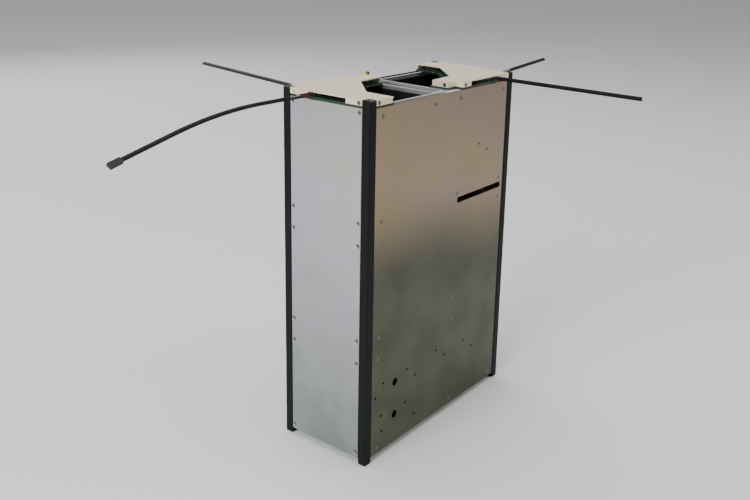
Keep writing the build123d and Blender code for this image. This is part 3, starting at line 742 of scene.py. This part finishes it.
for row in range(rows_across):
    for layer in range(layers):
        cell_places.append(((pack_low.x + pack_high.x) / 2,
                            pack_low.y + (row + 0.5) * pack_size.y / rows_across,
                            pack_low.z + (layer + 0.5) * pack_size.z / layers))
batteries = cells.bake(cell_places, battery_blue, "satellite", "bare", pin_steel)
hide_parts("battery_pack")

# %% [markdown]
# ## Chips on the stack boards
# Each board of the stack carries chips of several sizes. One chip is a dark body with a softened
# top and a row of tinned legs on two sides. The places come from a seeded random draw on a
# coarse grid, so that no two chips touch, and each one gets its own size.

# %% Place the chips
chip_draw = random.Random(11)
board_boxes = solid_boxes("stack_boards")
chip_pitch = 13.5 * mm
margin_x = 16 * mm          # first chip from the board's edges
margin_y = 14 * mm
far_margin_x = 8 * mm       # and at least this much beyond the last one
far_margin_y = 4 * mm
chip_share = 0.6            # of the places that carry a chip
chip_places = []
for low, high in board_boxes:
    across = int((high.x - low.x - margin_x - far_margin_x) / chip_pitch)
    deep = int((high.y - low.y - margin_y - far_margin_y) / chip_pitch)
    for i in range(across):
        for j in range(deep):
            if chip_draw.random() < chip_share:
                spot = (low.x + margin_x + i * chip_pitch, low.y + margin_y + j * chip_pitch, high.z)
                chip_places.append(spot)
chips = Pattern("stack_chips", {"Legs": 6, "Seed": 4})
package = chips.node("GeometryNodeMeshCube", None, {"Size": (7.8 * mm, 6.2 * mm, 1.3 * mm)})
lifted = chips.node("GeometryNodeTransform", None, {"Geometry": package, "Translation": (0, 0, 1 * mm)})
leg_shape = chips.node("GeometryNodeMeshCube", None, {"Size": (0.45 * mm, 8.8 * mm, 0.35 * mm)})
leg_line = chips.node("GeometryNodeMeshLine", {"mode": "OFFSET"}, {
    "Count": chips.input("Legs"), "Start Location": (-3 * mm, 0, 0.2 * mm),
    "Offset": (1.2 * mm, 0, 0)})
leg_row = chips.node("GeometryNodeInstanceOnPoints", None, {"Points": leg_line, "Instance": leg_shape})
legs = chips.node("GeometryNodeRealizeInstances", None, {"Geometry": leg_row})
chip = chips.join(lifted, chips.marked(legs, "tinned"))
size = chips.node("FunctionNodeRandomValue", {"data_type": "FLOAT_VECTOR"}, {
    0: (0.45, 0.45, 0.8), 1: (1.15, 1.15, 1.3), "Seed": chips.input("Seed")})
chips.shape = chips.node("GeometryNodeInstanceOnPoints", None, {
    "Points": chips.points(), "Instance": chip, "Scale": size})
stack_chips = chips.bake(chip_places, connector_black, "satellite", "tinned", pin_steel)

# %% [markdown]
# ## Floor and light
# A pale floor and large soft lights, as in a small product studio. The key light stands beyond
# the narrow face, a second large panel hangs over the front, and the sky is a soft grey.

# %% Stage
floor_mesh = bpy.data.meshes.new("floor")
reach = 12.0
floor_mesh.from_pydata([(-reach, -reach, 0), (reach, -reach, 0), (reach, reach, 0), (-reach, reach, 0)],
                       [], [(0, 1, 2, 3)])
floor = bpy.data.objects.new("floor", floor_mesh)
bpy.context.scene.collection.objects.link(floor)
paper = Finish("paper", {"Roughness": 0.9, "Specular IOR Level": 0.1})
paper.set("Base Color", paper.mix(paper.noise(3.0), grey(0.86), grey(0.88)))
floor_mesh.materials.append(paper.material)


def softbox(name, place, target, width, height, power, colour=(1, 1, 1)):
    """A rectangular light that faces a point."""
    data = bpy.data.lights.new(name, "AREA")
    data.shape = "RECTANGLE"
    data.size = width
    data.size_y = height
    data.energy = power
    data.color = colour
    lamp = bpy.data.objects.new(name, data)
    bpy.context.scene.collection.objects.link(lamp)
    facing = (Vector(target) - Vector(place)).to_track_quat("-Z", "Y")
    lamp.matrix_world = Matrix.Translation(place) @ facing.to_matrix().to_4x4()
    return lamp


middle = (0, 0, 0.2)
softbox("key", (-2.2, -0.1, 1.35), middle, 1.5, 1.5, 50, (0.97, 0.98, 1.0))
softbox("front", (1.5, -2.0, 1.75), middle, 1.2, 0.8, 12, (1.0, 0.90, 0.78))
softbox("top", (0.1, 0.2, 2.4), middle, 1.6, 1.6, 26)
softbox("rear", (0.6, 2.2, 1.2), middle, 1.6, 1.0, 14)
world = bpy.data.worlds.new("studio")
world.use_nodes = True
world.node_tree.nodes["Background"].inputs["Color"].default_value = (0.92, 0.93, 0.95, 1)
world.node_tree.nodes["Background"].inputs["Strength"].default_value = 0.42
bpy.context.scene.world = world
